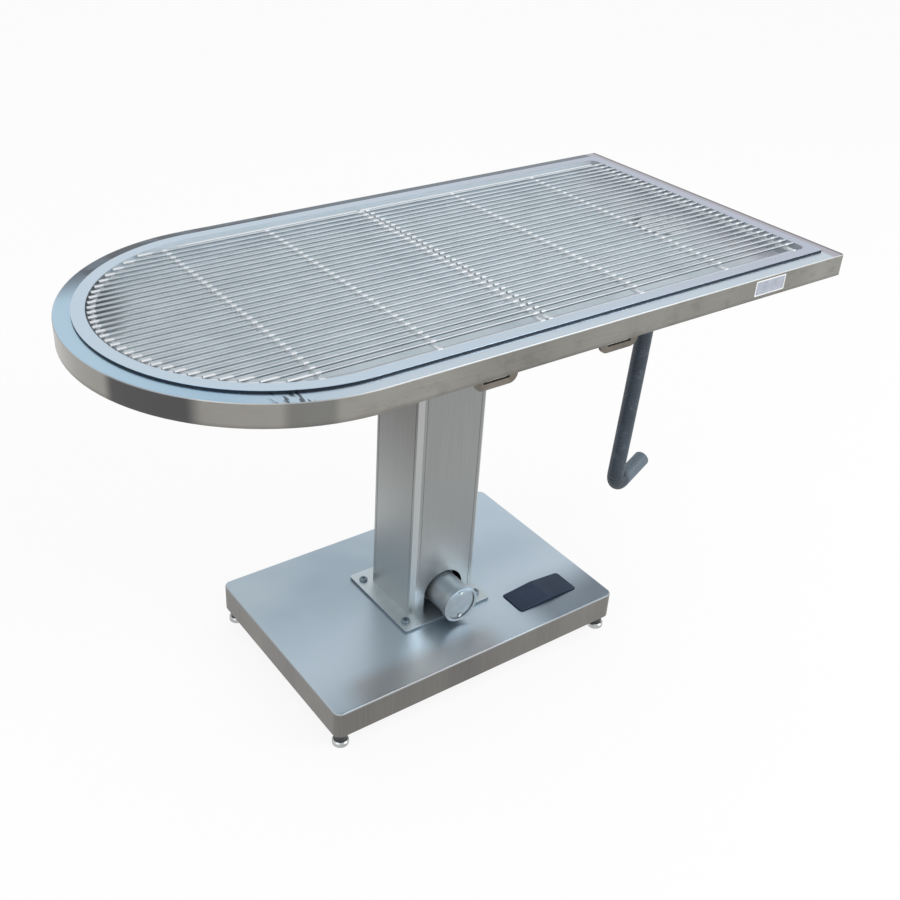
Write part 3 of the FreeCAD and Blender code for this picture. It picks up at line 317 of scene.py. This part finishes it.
def rim_skirt(rim, patches, brushed, front):
    """Brown-grey skirt with painted reflections that make it paler round the end and lay two
    dark stripes on it, and painted shade that dims its foot.
    """
    x, y, z = rim.axis("X"), rim.axis("Y"), rim.axis("Z")
    cloud = rim.noise(2.2, 2, 0.5, (1, 1, 0.2))
    side = rim.ramp(patches * 0.45 + cloud * 0.35 + brushed * 0.2,
                    (0.32, screen(104, 103, 100)), (0.45, screen(130, 129, 125)),
                    (0.56, screen(142, 141, 136)), (0.70, screen(160, 159, 154)))
    mottle = rim.noise(26, 4, 0.65, (1, 1, 1.6))
    side = rim.mix(mottle.step(0.48, 0.66) * 0.3, side, screen(112, 104, 94))
    # Painted reflection: paler round the end
    paler_end_reflection = 1 - x.step(-0.40, -0.22)
    side = rim.mix(paler_end_reflection * 0.40, side, screen(178, 175, 168))
    # Painted reflection: a dark stripe near the round end
    dark_stripe_reflection = y.band(-0.206, -0.096, 0.010) * (1 - x.step(-0.47, -0.44))
    side = rim.mix(dark_stripe_reflection * 0.92, side, screen(76, 76, 78))
    # Painted reflection: a softer dark stripe at the front
    soft = x.band(-0.423, -0.362, 0.008) * front
    side = rim.mix(soft * 0.55, side, screen(96, 98, 99))
    # Painted shade: darker along the skirt's foot
    foot = 1 - z.step(SKIRT_FOOT + 0.001, SKIRT_FOOT + 0.007)
    return rim.mix(foot * 0.3, side, screen(92, 90, 88))


def rim_band(rim, back, front):
    """Band painted with reflections: blue, dark at the back, lilac at the square end with a
    dark outer line, and dark flecks near the round end.
    """
    x = rim.axis("X")
    # Painted reflection of the sky, paler towards the square end
    sky = rim.ramp(x.step(-0.62, -0.28), (0.0, screen(170, 198, 216)),
                   (0.35, screen(160, 188, 208)), (1.0, screen(190, 203, 214)))
    # Painted reflection: dark at the back, with darker streaks
    streaks = rim.noise(11, 3, 0.6, (1, 2.5, 1)).step(0.47, 0.56) * x.band(-0.50, -0.12, 0.03)
    shade = rim.mix(streaks * 0.8, screen(84, 95, 107), screen(44, 50, 58))
    top = rim.mix(back * 0.95, sky, shade)
    # Painted reflections: lilac at the square end, a dark line at its outer edge
    top = rim.mix(x.step(*END_BAND), top, screen(164, 163, 174))
    top = rim.mix(x.step(*END_EDGE), top, screen(106, 100, 107))
    # Painted reflection: dark flecks at the front of the round end
    flecks = rim.noise(60, 2, 0.5, (3, 0.6, 1)).step(0.5, 0.56)
    marks = x.band(-0.432, -0.388, 0.008) * front * flecks
    return rim.mix(marks * 0.85, top, screen(52, 60, 70))


def tray_finish():
    """Pale flange, a step down to the rim darkened as painted shade, and a grey-blue well whose
    walls carry painted shade.
    """
    tray = Finish("tray_steel", screen(185, 200, 218), 0.34, 1.0)
    x, y, z = tray.axis("X"), tray.axis("Y"), tray.axis("Z")
    cloud = tray.noise(3.2, 3, 0.5)
    brushed = tray.noise(16, 4, 0.6, (1, 60, 60))
    reach = tray.reach(ROUND_CENTER_X)

    # Painted shade: the walls are dark at the front and left, light at the back and mid grey at
    # the square end
    wall = tray.mix(y.step(0.16, 0.22), screen(128, 136, 143), screen(214, 225, 232))
    wall = tray.mix(x.step(*WELL_END), wall, screen(178, 185, 190))
    well = tray.mix(z.step(*WELL_FLOOR), tray_floor(tray, cloud, brushed, reach), wall)
    # Painted shade: the step down from the flange to the rim is dark
    outer = reach.step(*FLANGE_REACH) + x.step(*FLANGE_END)
    sides = tray.mix(outer, well, screen(34, 42, 52))
    flange = tray.ramp(x.step(-0.5, 0.6), (0.0, screen(190, 206, 219)),
                       (0.6, screen(186, 199, 212)), (1.0, screen(178, 185, 200)))
    above = z.step(TRAY_TOP - 0.0008, TRAY_TOP - 0.0003)
    in_well = 1 - above
    tray.set("Base Color", tray.mix(above, sides, flange))
    tray.set("Metallic", 1 - in_well * 0.4)
    tray.set("Roughness", 0.30 + 0.14 * cloud + in_well * 0.14)
    tray.bump(brushed, 0.00003, 0.3)
    return tray


def tray_floor(tray, cloud, brushed, reach):
    """Pale floor, lighter towards the round end as painted light, lilac at the square end as a
    painted reflection, and with painted shade at the back left tip and in a ring beside the
    drain.
    """
    x, y = tray.axis("X"), tray.axis("Y")
    floor = tray.ramp(cloud * 0.8 + brushed * 0.2, (0.35, screen(206, 217, 224)),
                      (0.5, screen(220, 230, 236)), (0.65, screen(229, 237, 242)))
    # Painted light: lighter towards the round end
    floor = tray.mix((1 - x.step(-0.5, -0.2)) * 0.6, floor, screen(240, 246, 250))
    # Painted reflection: lilac and lighter at the square end
    floor = tray.mix(x.step(0.42, 0.54) * 0.7, floor, screen(234, 231, 238))
    # Painted shade: a dark ring in the recess on the drain's left side
    from_drain = ((x - DRAIN_CENTER_X) ** 2 + y * y) ** 0.5
    shade = from_drain.band(0.032, 0.056, 0.004) * (1 - x.step(0.47, 0.50))
    floor = tray.mix(shade * 0.8, floor, screen(88, 94, 100))
    # Painted shade: dark at the back left tip, in the wall's shadow
    tip_shade = (1 - x.step(-0.48, -0.42)) * y.step(0.02, 0.07) * reach.step(0.19, 0.225)
    return tray.mix(tip_shade * 0.8, floor, screen(70, 76, 82))


def wire_finish():
    """Grey wires over bars lightened as painted light and a front rod darkened as painted
    shade, with a painted highlight at each welded crossing and wire end.
    """
    wire = Finish("wire_steel", screen(176, 182, 188), 0.32, 1.0)
    x, y, z = wire.axis("X"), wire.axis("Y"), wire.axis("Z")
    drawn = wire.noise(22, 3)
    bars = sum(x.band(place - BAR_HALF_WIDTH, place + BAR_HALF_WIDTH, 0.001)
               for place in BAR_LINES)
    rods = 1 - z.step(*WIRE_FOOT)
    # Painted light and shade: the bars under the wires are pale, the front rod greyer
    front_rod = (1 - y.step(*FRONT_ROD)) * (1 - bars.step(0.3, 0.8))
    rod = wire.mix(front_rod, screen(228, 232, 235), screen(166, 173, 180))
    colour = wire.tones(drawn, screen(156, 164, 170), screen(174, 182, 188))
    colour = wire.mix(rods, colour, rod)
    # Painted highlights at the welded crossings and at the wire ends
    weld_and_tip_highlights = bars + wire.reach(ROUND_CENTER_X).step(*WIRE_END_REACH)
    highlight_spots = (weld_and_tip_highlights * (1 - rods)).step(0.3, 0.8)
    wire.set("Base Color", wire.mix(highlight_spots * 0.85, colour, screen(209, 213, 216)))
    wire.set("Metallic", 1 - rods * (1 - front_rod) * 0.5)
    wire.set("Roughness", 0.42 + 0.14 * drawn + 0.08 * highlight_spots)
    wire.bump(wire.noise(160, 3), 0.00006, 0.4)
    return wire


# Finishes of the column and base

def column_finish():
    """Silver drawn section with fine upright lines; painted shade darkens the left face,
    painted highlights make the chamfers pale, and painted light brightens its lower part and a
    patch at its foot.
    """
    column = Finish("column_anodised", screen(158, 160, 160), 0.42, 1.0)
    x, y, z = column.axis("X"), column.axis("Y"), column.axis("Z")
    low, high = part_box("outer_column")
    drawn = column.noise(10, 3, 0.5, (40, 40, 0.6))
    # Painted light: lighter towards the bottom
    lit_low_down = 1 - z.step(0.10, 0.55)
    left = 1 - x.step(low[0] + 0.0002, low[0] + 0.0006)
    # Painted light: a bright patch low on the faces beside the left face
    foot = (1 - z.step(0.11, 0.24)) * (1 - x.step(low[0] + 0.015, low[0] + 0.05))
    # Painted highlight on the chamfered corners
    chamfer = ((x.size() - high[0]) + (y.size() - high[1])).step(-0.0078, -0.0070)

    face = column.tones(drawn, screen(141, 143, 142), screen(151, 153, 152))
    face = column.mix(lit_low_down * 0.6, face, screen(158, 162, 163))
    # Painted shade on the left face
    shaded = column.tones(drawn, screen(115, 115, 113), screen(126, 126, 124))
    shaded = column.mix(lit_low_down, shaded, screen(182, 186, 186))
    pale = column.mix(lit_low_down, screen(178, 179, 178), screen(186, 190, 190))
    face = column.mix(left, face, shaded)
    face = column.mix(foot * (1 - left) * 0.9, face, screen(216, 221, 224))
    column.set("Base Color", column.mix(chamfer, face, pale))
    column.set("Roughness", 0.36 + 0.12 * drawn)
    column.bump(drawn, 0.00004, 0.35)
    return column


def base_finish():
    """Brushed lid painted blue-grey with reflections, lighter to the front and back right, grey
    by the front edge and dark at the right front corner, over brown-grey sides with a painted
    highlight along their top edge.
    """
    base = Finish("base_steel", screen(168, 182, 193), 0.30, 1.0)
    x, y, z = base.axis("X"), base.axis("Y"), base.axis("Z")
    cloud = base.noise(3.0, 3, 0.5)
    lines = base.noise(18, 4, 0.6, (1, 90, 90))
    # Painted reflection: the lid is blue-grey, the sides below brown-grey
    top = base.ramp(cloud * 0.85 + lines * 0.15, (0.34, screen(146, 162, 174)),
                    (0.5, screen(162, 178, 190)), (0.66, screen(178, 191, 199)))
    # Painted reflections: lighter to the front and back right, grey by the front edge, dark at
    # the right front corner
    top = base.mix((1 - y.step(-0.14, 0.12)) * 0.85, top, screen(196, 212, 224))
    right_back = x.step(-0.02, 0.16) * y.step(-0.02, 0.10)
    top = base.mix(right_back * 0.7, top, screen(188, 204, 217))
    front = (1 - y.step(-0.168, -0.125)) * x.band(-0.25, 0.03, 0.03)
    top = base.mix(front * 0.85, top, screen(170, 173, 176))
    corner = (1 - y.step(-0.17, -0.06)) * x.step(0.09, 0.17)
    top = base.mix(corner * 0.85, top, screen(124, 136, 148))

    grain = base.noise(9, 3, 0.55, (90, 90, 1))
    side = base.ramp(base.noise(6, 2, 0.5, (1, 1, 0.3)) * 0.7 + grain * 0.3,
                     (0.35, screen(108, 106, 104)), (0.65, screen(132, 130, 126)))
    # Painted highlight along the top edge of the sides
    edge = z.step(BASE_TOP - 0.0030, BASE_TOP - 0.0022)
    side = base.mix(edge, side, screen(164, 168, 170))
    flat = z.step(BASE_TOP - 0.0009, BASE_TOP - 0.0004)
    base.set("Base Color", base.mix(flat, side, top))
    base.set("Roughness", 0.28 + 0.16 * cloud + 0.3 * (edge - flat))
    base.bump(lines, 0.00003, 0.3)
    return base


def plate_finish():
    """Zinc-grey floor plate of the column, with its cut sides darkened as painted shade."""
    plate = Finish("plate_zinc", screen(165, 172, 175), 0.42, 1.0)
    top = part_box("column_flange")[1][2]
    # Painted shade: the sides are darker than the face
    sides = 1 - plate.axis("Z").step(top - 0.0012, top - 0.0002)
    face = plate.tones(plate.noise(30, 4), screen(182, 194, 200), screen(198, 209, 214))
    plate.set("Base Color", plate.mix(sides, face, screen(128, 138, 145)))
    plate.set("Roughness", 0.38 + 0.12 * plate.noise(60, 3) + 0.2 * sides)
    plate.bump(plate.noise(240, 3), 0.00008, 0.4)
    return plate


def motor_finish():
    """Light grey enamel, with a painted blue reflection of the sky where it faces up."""
    enamel = Finish("motor_enamel", screen(168, 172, 168), 0.40, 0.7)
    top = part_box("motor_can")[1][2]
    grey = enamel.tones(enamel.noise(40, 4), screen(128, 135, 140), screen(146, 153, 158))
    # Painted reflection of the sky on the top of the can
    sky = enamel.axis("Z").step(top - 0.020, top - 0.003)
    enamel.set("Base Color", enamel.mix(sky * 0.75, grey, screen(176, 194, 206)))
    enamel.set("Roughness", 0.34 + 0.14 * enamel.noise(70, 3))
    enamel.bump(enamel.noise(300, 4), 0.00008, 0.4)
    return enamel


# Finishes of the small parts

def speckled(name, dark, light, scale, roughness, metallic=0.0, grain=500):
    """A finish whose colour drifts between two tones, over a fine grain."""
    finish = Finish(name, light, roughness, metallic)
    finish.set("Base Color", finish.tones(finish.noise(scale, 4), dark, light))
    finish.set("Roughness", roughness - 0.05 + 0.12 * finish.noise(scale * 2, 3))
    finish.bump(finish.noise(grain, 3), 0.0001, 0.45)
    return finish


def screw_finish():
    """Bright zinc with a fine grain."""
    screw = Finish("screw_zinc", screen(178, 180, 180), 0.28, 1.0)
    tones = screw.tones(screw.noise(90, 3), screen(164, 167, 168), screen(190, 192, 192))
    screw.set("Base Color", tones)
    screw.set("Roughness", 0.2 + 0.25 * screw.noise(80, 4))
    screw.bump(screw.noise(400, 3), 0.00004, 0.4)
    return screw


def stud_finish():
    """Levelling stud: bright thread inside the base, and below it painted black as shade."""
    stud = Finish("stud_zinc", screen(178, 180, 180), 0.32, 1.0)
    # Painted shade: black below the base's foot
    shade_below_base = 1 - stud.axis("Z").step(BASE_FOOT - 0.0004, BASE_FOOT + 0.0004)
    thread = stud.tones(stud.noise(90, 3), screen(160, 163, 164), screen(188, 190, 190))
    stud.set("Base Color", stud.mix(shade_below_base, thread, screen(40, 42, 46)))
    stud.set("Metallic", 1 - shade_below_base)
    stud.set("Roughness", 0.26 + 0.2 * stud.noise(80, 4))
    stud.bump(stud.noise(400, 3), 0.00004, 0.4)
    return stud


def pedal_finish():
    """Matt navy-black plastic with a fine moulded grain."""
    pedal = Finish("pedal_plastic", screen(34, 46, 66), 0.5, Specular_IOR_Level=0.3)
    tones = pedal.tones(pedal.noise(20, 4), screen(28, 44, 64), screen(38, 55, 78))
    pedal.set("Base Color", tones)
    pedal.set("Roughness", 0.44 + 0.14 * pedal.noise(50, 3))
    pedal.bump(pedal.noise(900, 3), 0.00012, 0.5)
    return pedal


def hose_finish():
    """Dark slate plastic with patches of dust, paler along its free end as painted light."""
    hose = Finish("hose_plastic", screen(56, 66, 78), 0.40)
    colour = hose.tones(hose.noise(14, 4), screen(38, 50, 62), screen(56, 70, 84))
    # Painted light: paler along the free end
    lit_free_end = hose.axis("X").step(0.498, 0.515)
    colour = hose.mix(lit_free_end * 0.6, colour, screen(118, 134, 147))
    dust = hose.noise(45, 3, 0.6).step(0.52, 0.70)
    hose.set("Base Color", hose.mix(dust * 0.25, colour, screen(112, 122, 134)))
    hose.set("Roughness", 0.34 + 0.2 * hose.noise(30, 3))
    hose.bump(hose.noise(420, 3), 0.00006, 0.4)
    return hose


def floor_finish():
    """Matt floor that shows near to white to the camera, with its shadows still on it."""
    floor = Finish("floor_paint", (0.93, 0.93, 0.93), 0.9)
    floor.set("Base Color", floor.tones(floor.noise(2, 3), (0.92, 0.92, 0.92),
                                        (0.94, 0.94, 0.94)))
    white = floor.node("Emission", None, [("Color", (1, 1, 1))])
    paint = Value(floor, floor.shader.outputs[0])
    floor.blend(floor.seen() * FLOOR_WHITE_SHARE, paint, white)
    return floor


def make_finishes():
    """Every finish of the table by its plain name."""
    return {
        "rim": rim_finish(),
        "tray": tray_finish(),
        "wire": wire_finish(),
        "column": column_finish(),
        "base": base_finish(),
        "plate": plate_finish(),
        "motor": motor_finish(),
        "screw": screw_finish(),
        "stud": stud_finish(),
        "hose": hose_finish(),
        "pedal": pedal_finish(),
        "bolt": speckled("bolt_zinc", screen(104, 118, 128), screen(126, 140, 149),
                         90, 0.38, 1.0),
        "cleat": speckled("cleat_steel", screen(108, 103, 96), screen(134, 128, 120),
                          40, 0.42, 1.0),
        # Painted highlight: drain and strainer near white, for their glint between the wires
        "drain": speckled("drain_glint_white", screen(244, 247, 250), screen(253, 254, 255),
                          30, 0.28, 0.1),
        "frame_paint": speckled("frame_paint", screen(84, 86, 89), screen(100, 102, 105),
                                12, 0.55),
        "bronze": speckled("nut_bronze", screen(158, 124, 72), screen(188, 152, 96),
                           40, 0.34, 1.0),
        "black": speckled("black_plastic", screen(38, 41, 46), screen(52, 55, 60),
                          25, 0.5, grain=700),
        "white": speckled("white_plastic", screen(218, 218, 212), screen(232, 232, 228),
                          20, 0.45),
        "rubber": speckled("rubber", screen(34, 35, 37), screen(50, 51, 53),
                           40, 0.75, grain=600),
        "skirt_plate": speckled("skirt_plate", screen(149, 157, 171), screen(173, 180, 192),
                                90, 0.42),
        "skirt_plate_edge": speckled("skirt_plate_edge", screen(222, 225, 229),
                                     screen(236, 238, 240), 80, 0.4),
    }


# Light and floor

def add_floor():
    """Wide pale floor under the feet."""
    shape = bmesh.new()
    bmesh.ops.create_grid(shape, x_segments=1, y_segments=1, size=FLOOR_HALF_WIDTH)
    piece = new_piece("floor", shape, floor_finish())


def add_lamp(name, place, target, size, power, colour):
    """Soft round lamp, turned to its target."""
    data = bpy.data.lights.new(name, "AREA")
    data.shape = "DISK"
    data.size = size
    data.energy = power
    data.color = colour
    lamp = bpy.data.objects.new(name, data)
    aim = (Vector(target) - Vector(place)).to_track_quat("-Z", "Y")
    lamp.matrix_world = Matrix.Translation(place) @ aim.to_matrix().to_4x4()
    bpy.context.scene.collection.objects.link(lamp)


def add_light():
    """Even light from all round, white where the camera sees it, and two soft lamps."""
    world = bpy.data.worlds.new("studio")
    bpy.context.scene.world = world
    world.use_nodes = True
    room = NodeTree(world.node_tree)
    soft, white = (room.node("Background", None, [("Color", (1, 1, 1)), ("Strength", strength)])
                   for strength in (ROOM_LIGHT, 1.0))
    room.blend(room.seen(), soft, white)
    for lamp in LAMPS:
        add_lamp(*lamp)


# Drain hose

def route_line():
    """The smooth line of the hose, from the spline through its route's points."""
    data = bpy.data.curves.new("hose_line", "CURVE")
    data.dimensions = "3D"
    data.resolution_u = 24
    spline = data.splines.new("NURBS")
    spline.points.add(len(HOSE_ROUTE) - 1)
    for point, place in zip(spline.points, HOSE_ROUTE):
        point.co = (*place, 1.0)
    spline.order_u = 3
    spline.use_endpoint_u = True
    line = bpy.data.objects.new("hose_line", data)
    bpy.context.scene.collection.objects.link(line)
    return line


def line_points(line):
    """Points read along the spline, in order."""
    mesh = bpy.data.meshes.new_from_object(line)
    points = [vertex.co.copy() for vertex in mesh.vertices]
    bpy.data.meshes.remove(mesh)
    return points


class Line:
    """A smooth line read from a spline, measured along its length."""

    def __init__(self, points):
        self.points = points
        self.marks = [0.0]
        for first, second in zip(points, points[1:]):
            self.marks.append(self.marks[-1] + (second - first).length)
        self.length = self.marks[-1]

    def at(self, distance):
        """Point and heading at a distance from the start."""
        index = 1
        while index < len(self.marks) - 1 and self.marks[index] < distance:
            index += 1
        first, second = self.points[index - 1], self.points[index]
        share = (distance - self.marks[index - 1]) / (self.marks[index] - self.marks[index - 1])
        before = self.points[max(index - 2, 0)]
        after = self.points[min(index + 1, len(self.points) - 1)]
        heading = (second - before).normalized().lerp((after - first).normalized(), share)
        return first.lerp(second, share), heading.normalized()


def ribbed_outline(length):
    """Distance and radius of each ring: out along the ribs and back through the bore."""
    count = round(length / HOSE_RIB_PITCH)
    pitch = length / count
    outline = [((rib + share) * pitch, radius)
               for rib in range(count) for share, radius in HOSE_RIB_STEPS]
    outline.append((length, HOSE_ROOT))
    return outline + [(rib * pitch, HOSE_BORE) for rib in range(count, -1, -1)]


def add_ring(shape, line, distance, radius):
    """Adds one ring of the hose, square to its line, and returns its edges."""
    centre, heading = line.at(distance)
    steady = Vector((0, 1, 0))
    side = (steady - steady.dot(heading) * heading).normalized()
    turn = Matrix((side.cross(heading), side, heading)).transposed().to_4x4()
    made = bmesh.ops.create_circle(shape, segments=HOSE_SIDES, radius=radius,
                                   matrix=Matrix.Translation(centre) @ turn)
    return list({edge for vertex in made["verts"] for edge in vertex.link_edges})


def add_hose(finish):
    """Ribbed hose: rings bridged along the smooth line through the route's points."""
    helper = route_line()
    line = Line(line_points(helper))
    bpy.data.objects.remove(helper)
    shape = bmesh.new()
    outline = ribbed_outline(line.length)
    rings = [add_ring(shape, line, distance, radius) for distance, radius in outline]
    for ring, following in zip(rings, rings[1:] + rings[:1]):
        bmesh.ops.bridge_loops(shape, edges=ring + following)
    bmesh.ops.recalc_face_normals(shape, faces=shape.faces)
    for face in shape.faces:
        face.smooth = True
    hose = new_piece("ribbed_hose", shape, finish)
    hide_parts("drain_hose")
    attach(hose, "top")
    path = [line.at(distance)[0] for distance in sorted({ring[0] for ring in outline})]
    print("hose length", round(line.length, 4))


# Bare plate on the skirt

def add_skirt_plate(finishes):
    """Small bare plate with a pale edge, stuck to the front of the skirt."""
    low, high = SKIRT_PLATE
    for name, inset, lift in (("skirt_plate_edge", 0.0, 0.0),
                              ("skirt_plate", SKIRT_PLATE_EDGE, SKIRT_PLATE_LIFT)):
        shape = bmesh.new()
        bmesh.ops.create_cube(shape, size=1)
        size = high - low - Vector((2 * inset, 0, 2 * inset))
        bmesh.ops.scale(shape, vec=size, verts=shape.verts)
        middle = (low + high) / 2 - Vector((0, lift, 0))
        bmesh.ops.translate(shape, vec=middle, verts=shape.verts)
        across = [edge for edge in shape.edges
                  if abs(edge.verts[0].co.y - edge.verts[1].co.y) > size.y / 2]
        bmesh.ops.bevel(shape, geom=across, offset=SKIRT_PLATE_CORNER, segments=3, profile=0.5,
                        affect="EDGES", material=-1)
        new_piece(name, shape, finishes[name], "top")


# Dressing of the nodes: each finish, and the names or first words of the nodes that wear it
NODE_FINISHES = {
    "rim": ("table_rim",),
    "tray": ("sink_tray",),
    "wire": ("grid_round", "grid_square"),
    "drain": ("drain_body", "strainer"),
    "cleat": ("tie_cleat",),
    "column": ("outer_column", "inner_column"),
    "base": ("base_cover",),
    "plate": ("column_flange",),
    "motor": ("motor_can", "motor_end_cap"),
    "bolt": ("flange_screws",),
    "screw": ("motor_cap_screws", "column_screws", "hose_clamp", "spindle",
              "pedal_pin", "foot_inserts", "foot_jam_nuts", "foot_pad"),
    "stud": ("foot_stud",),
    "bronze": ("drive_nut",),
    "white": ("drain_nut",),
    "rubber": ("drain_gasket", "tray_pads", "pedal_buffers"),
    "black": ("upper_glide", "lower_glide", "control_box", "cable_gland", "pedal_housing",
              "pedal_switches", "gearbox_housing"),
    "pedal": ("pedal_rocker",),
    "hose": ("hose_cuff",),
    "frame_paint": ("support_arm", "table_rail", "top_mount_plate", "nut_plate",
                    "base_rail", "base_cross", "base_bearer"),
}


def dress_nodes(finishes):
    """Gives each node of the frame its finish."""
    for finish, starts in NODE_FINISHES.items():
        for name, node in NODES.items():
            if name.startswith(starts):
                node.data.materials.clear()
                node.data.materials.append(finishes[finish].material)


add_camera()
FINISHES = make_finishes()
add_hose(FINISHES["hose"])
add_floor()
add_light()
dress_nodes(FINISHES)
add_skirt_plate(FINISHES)

bpy.context.scene.view_settings.view_transform = "Standard"
